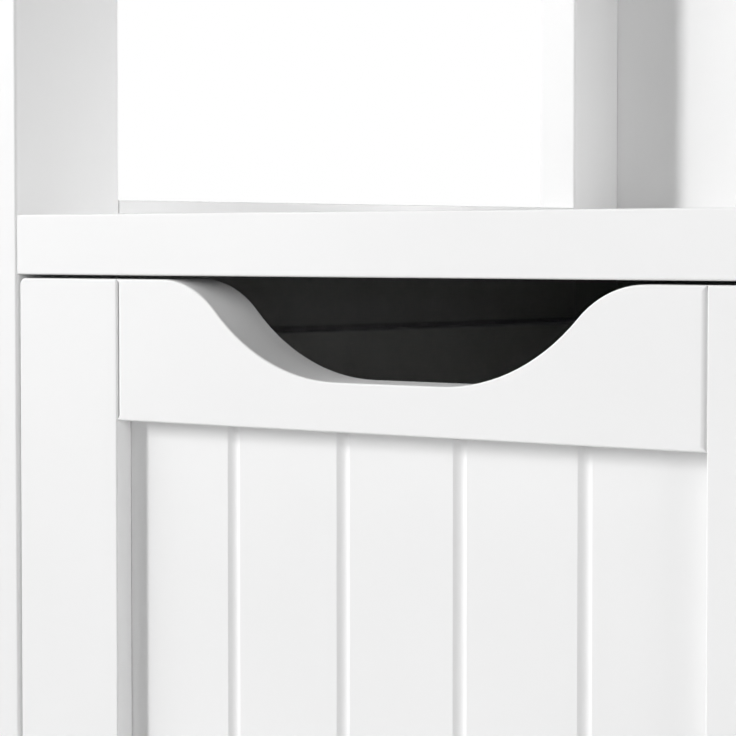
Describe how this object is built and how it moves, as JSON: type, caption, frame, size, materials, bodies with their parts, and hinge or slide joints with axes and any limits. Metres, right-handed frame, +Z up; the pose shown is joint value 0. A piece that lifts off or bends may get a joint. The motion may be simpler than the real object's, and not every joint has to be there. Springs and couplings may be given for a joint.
{
  "type": "bathroom chest of drawers",
  "caption": "Narrow white chest on straight legs: inset drawers with planked fronts and hand scoops under an open compartment with open sides.",
  "frame": {"origin": "on the floor, under the middle of the chest", "axes": "+Z up, +X to the right seen from the front, the front faces -Y"},
  "size_m": [0.3, 0.3, 0.8],
  "materials": {
    "painted_wood": "white satin paint",
    "painted_sheet": "white satin paint",
    "painted_box": "white satin paint",
    "runner_plastic": "matt",
    "glide_plastic": "matt",
    "beech": "bare",
    "zinc": "die-cast zinc",
    "steel": "zinc plated"
  },
  "bodies": {
    "carcass": {"back_panel": "painted_sheet", "bottom_board": "painted_wood", "cam_bolts": "steel", "cam_locks": "zinc", "foot_glides": "glide_plastic", "left_back_post": "painted_wood", "left_bottom_rail": "painted_wood", "left_front_post": "painted_wood", "left_middle_rail": "painted_wood", "left_side_panel": "painted_sheet", "left_top_rail": "painted_wood", "lower_left_runner": "runner_plastic", "lower_right_runner": "runner_plastic", "middle_left_runner": "runner_plastic", "middle_right_runner": "runner_plastic", "right_back_post": "painted_wood", "right_bottom_rail": "painted_wood", "right_front_post": "painted_wood", "right_middle_rail": "painted_wood", "right_side_panel": "painted_sheet", "right_top_rail": "painted_wood", "runner_screws": "steel", "shelf_board": "painted_wood", "top_board": "painted_wood", "top_screws": "steel", "upper_left_runner": "runner_plastic", "upper_right_runner": "runner_plastic", "wooden_dowels": "beech"},
    "lower_drawer": {"lower_left_stile": "painted_wood", "lower_right_stile": "painted_wood", "lower_top_rail": "painted_wood", "lower_bottom_rail": "painted_wood", "lower_planked_panel": "painted_sheet", "lower_left_side": "painted_box", "lower_right_side": "painted_box", "lower_drawer_back": "painted_box", "lower_drawer_bottom": "painted_sheet"},
    "middle_drawer": {"middle_left_stile": "painted_wood", "middle_right_stile": "painted_wood", "middle_top_rail": "painted_wood", "middle_bottom_rail": "painted_wood", "middle_planked_panel": "painted_sheet", "middle_left_side": "painted_box", "middle_right_side": "painted_box", "middle_drawer_back": "painted_box", "middle_drawer_bottom": "painted_sheet"},
    "upper_drawer": {"upper_left_stile": "painted_wood", "upper_right_stile": "painted_wood", "upper_top_rail": "painted_wood", "upper_bottom_rail": "painted_wood", "upper_planked_panel": "painted_sheet", "upper_left_side": "painted_box", "upper_right_side": "painted_box", "upper_drawer_back": "painted_box", "upper_drawer_bottom": "painted_sheet"}
  },
  "joints": [
    {"name": "lower_drawer_slide", "type": "slide", "parent": "carcass", "child": "lower_drawer", "axis": [0, -1, 0], "range_m": [0, 0.19]},
    {"name": "middle_drawer_slide", "type": "slide", "parent": "carcass", "child": "middle_drawer", "axis": [0, -1, 0], "range_m": [0, 0.19]},
    {"name": "upper_drawer_slide", "type": "slide", "parent": "carcass", "child": "upper_drawer", "axis": [0, -1, 0], "range_m": [0, 0.19]}
  ]
}
